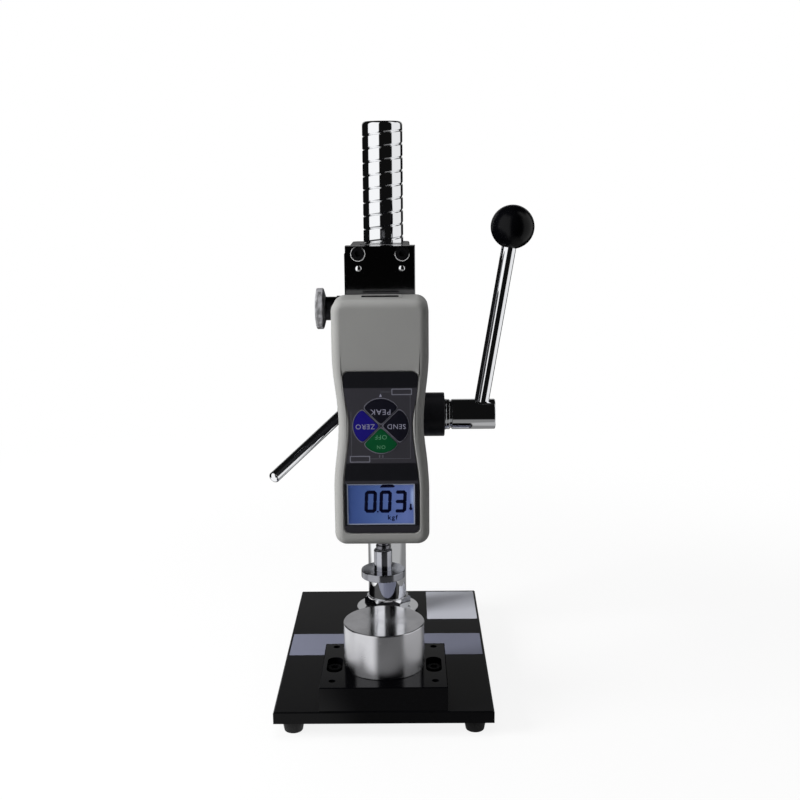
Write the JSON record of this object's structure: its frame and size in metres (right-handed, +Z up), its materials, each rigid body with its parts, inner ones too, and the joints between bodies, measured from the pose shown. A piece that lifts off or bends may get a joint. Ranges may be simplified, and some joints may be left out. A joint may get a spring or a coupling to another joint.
{
  "type": "briquette compression tester",
  "caption": "Bench press with a round column, a hand lever and rack, and a hand-held force gauge that presses a disc on a round anvil.",
  "frame": {"origin": "on the bench, under the middle of the base plate", "axes": "+Z up along the column, +X to the operator's right, +Y away from the operator"},
  "size_m": [0.2043, 0.2336, 0.4272],
  "materials": {
    "black_paint": "satin",
    "gloss_black": "gloss",
    "polished_steel": "fine satin",
    "ground_steel": "ground",
    "chromed": "mirror",
    "black_steel": "oiled black",
    "bronze": "plain",
    "black_rubber": "matt",
    "black_ball": "gloss",
    "grey_case": "fine texture",
    "dark_film": "satin film",
    "clear_window": "clear",
    "blue_display": "gloss",
    "dark_key": "satin",
    "blue_key": "satin",
    "green_key": "satin",
    "board": "solder mask",
    "battery_wrap": "shrink film",
    "sensor_alloy": "machined"
  },
  "bodies": {
    "stand": {"base_plate": "black_paint", "rubber_feet": "black_rubber", "foot_screws": "black_steel", "fixture_block": "gloss_black", "fixture_bolts": "black_steel", "platen_screw": "black_steel", "lower_platen": "polished_steel", "column": "chromed", "column_washer": "chromed", "column_nut": "chromed", "under_washer": "ground_steel", "under_nut": "ground_steel"},
    "head": {"head_block": "black_paint", "gib_strip": "ground_steel", "gib_screws": "black_steel", "stop_screw": "black_steel", "lock_nut": "black_steel", "bearing_housing": "black_paint", "right_bush": "bronze", "left_bush": "bronze", "return_spring": "black_steel", "spring_pin": "black_steel", "clamp_washer": "chromed"},
    "carriage": {"dovetail_slide": "ground_steel", "rack": "ground_steel", "rack_screws": "black_steel", "mount_plate": "gloss_black", "mount_bolts": "black_steel", "locating_pins": "chromed", "gauge_screws": "black_steel", "gauge_front_shell": "grey_case", "gauge_back_shell": "grey_case", "shell_screws": "black_steel", "output_socket": "dark_film", "overlay_panel": "dark_film", "display_window": "clear_window", "display_module": "blue_display", "key_board": "board", "circuit_board": "board", "battery_pack": "battery_wrap", "force_sensor": "sensor_alloy", "sensing_shaft": "chromed", "upper_platen": "chromed"},
    "lever": {"pinion_shaft": "ground_steel", "thrust_washer": "chromed", "lever_hub": "chromed", "hub_pin": "black_steel", "lever_rod": "chromed", "ball_knob": "black_ball"},
    "clamp_lever": {"clamp_screw": "chromed", "clamp_rod": "chromed"},
    "slide_lock": {"lock_screw": "black_steel", "lock_knob": "chromed"},
    "peak_key": {"key_peak": "dark_key"},
    "zero_key": {"key_zero": "blue_key"},
    "send_key": {"key_send": "dark_key"},
    "power_key": {"key_power": "green_key"}
  },
  "joints": [
    {"name": "head_height", "type": "slide", "parent": "stand", "child": "head", "axis": [0, 0, 1], "range_m": [0, 0.085]},
    {"name": "carriage_travel", "type": "slide", "parent": "head", "child": "carriage", "axis": [0, 0, -1], "range_m": [0, 0.033], "stiffness_N_per_m": 300, "springref_m": -0.1},
    {"name": "lever_turn", "type": "hinge", "parent": "head", "child": "lever", "pos_m": [0.05, -0.01, 0.20835], "axis": [1, 0, 0], "range_deg": [0, 155]},
    {"name": "clamp_turn", "type": "hinge", "parent": "head", "child": "clamp_lever", "pos_m": [-0.03, 0.1, 0.1897], "axis": [-1, 0, 0], "range_deg": [0, 70]},
    {"name": "lock_turn", "type": "hinge", "parent": "head", "child": "slide_lock", "pos_m": [-0.04, -0.0325, 0.2918], "axis": [-1, 0, 0], "range_deg": [0, 360]},
    {"name": "peak_key_press", "type": "slide", "parent": "carriage", "child": "peak_key", "axis": [0, 1, 0], "range_m": [0, 0.0006], "stiffness_N_per_m": 1500, "springref_m": -0.0005},
    {"name": "zero_key_press", "type": "slide", "parent": "carriage", "child": "zero_key", "axis": [0, 1, 0], "range_m": [0, 0.0006], "stiffness_N_per_m": 1500, "springref_m": -0.0005},
    {"name": "send_key_press", "type": "slide", "parent": "carriage", "child": "send_key", "axis": [0, 1, 0], "range_m": [0, 0.0006], "stiffness_N_per_m": 1500, "springref_m": -0.0005},
    {"name": "power_key_press", "type": "slide", "parent": "carriage", "child": "power_key", "axis": [0, 1, 0], "range_m": [0, 0.0006], "stiffness_N_per_m": 1500, "springref_m": -0.0005}
  ],
  "couplings": [
    {"joint": "lever_turn", "follows": "carriage_travel", "rad_per_m": 80}
  ]
}
